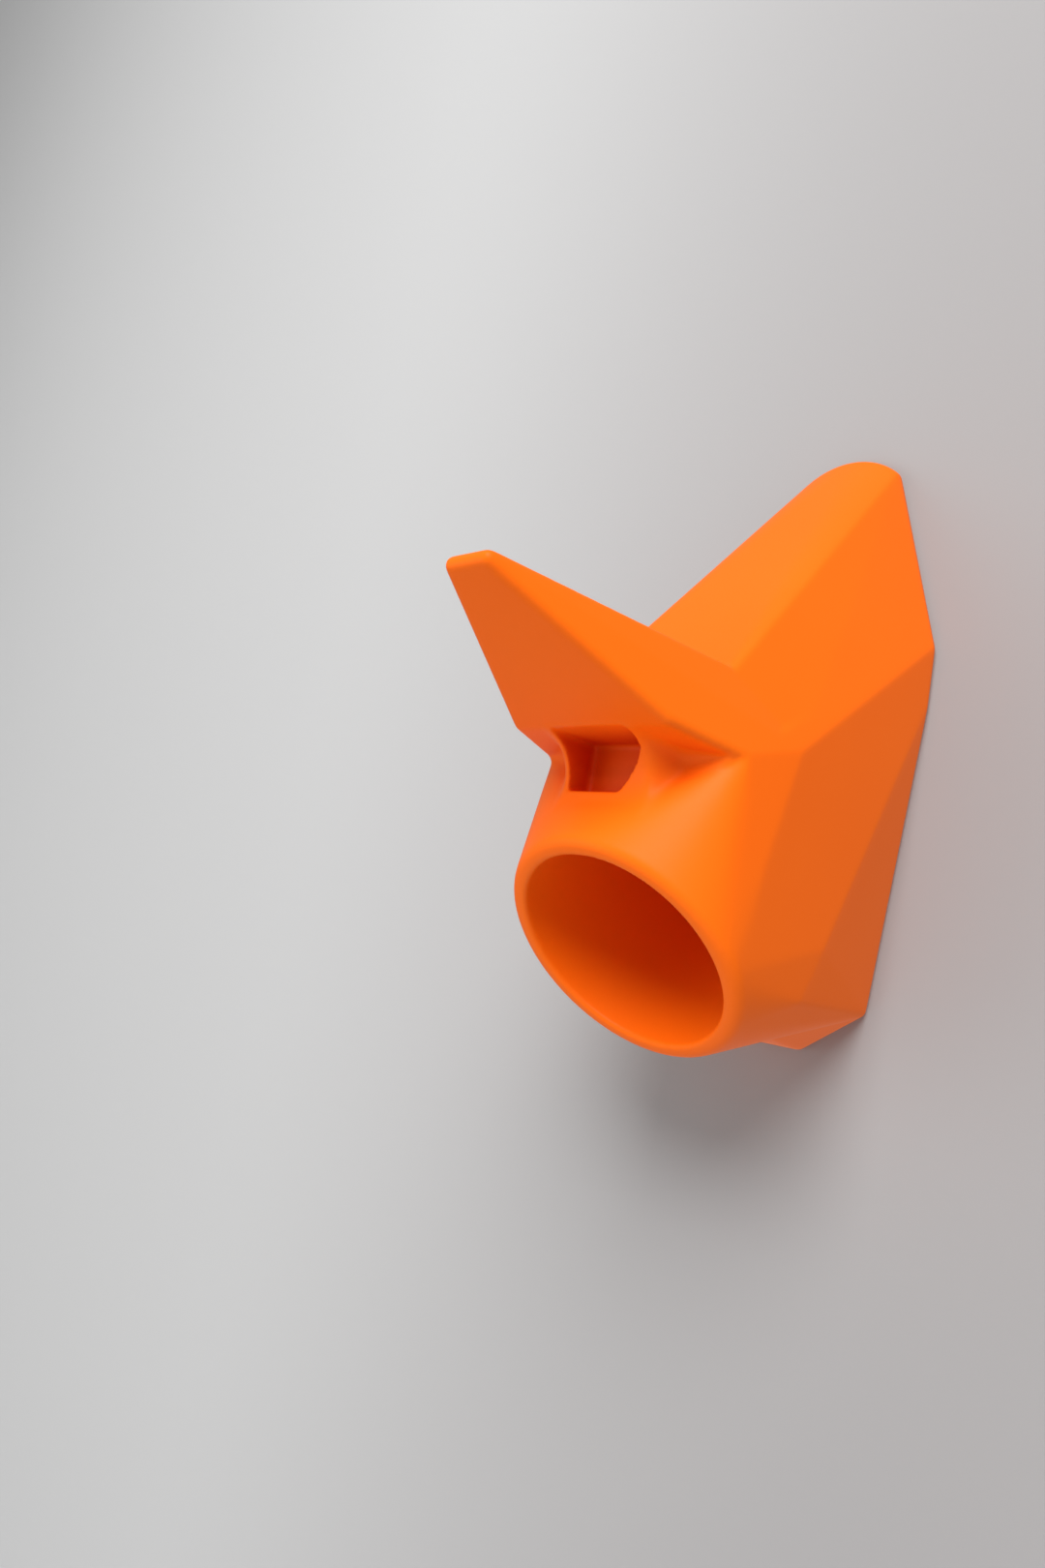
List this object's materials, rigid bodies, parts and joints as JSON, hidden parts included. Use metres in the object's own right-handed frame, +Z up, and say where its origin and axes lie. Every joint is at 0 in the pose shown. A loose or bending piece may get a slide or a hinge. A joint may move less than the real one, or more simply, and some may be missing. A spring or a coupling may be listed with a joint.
{
  "type": "charging plug holder",
  "caption": "Wall holder for a charging plug: a sloping round socket takes the plug's nose, a pocket above it takes the latch, and a V-shaped hook over both holds the cable.",
  "frame": {"origin": "on the wall plane, in the middle of the lower edge of the back", "axes": "+Y into the wall, +Z up, +X to the right as seen from the wall's face; the sides mirror each other across X = 0"},
  "size_m": [0.053, 0.1136, 0.1444],
  "materials": {
    "body": "satin orange moulded plastic"
  },
  "bodies": {
    "root": {"holder": "body"}
  },
  "joints": []
}
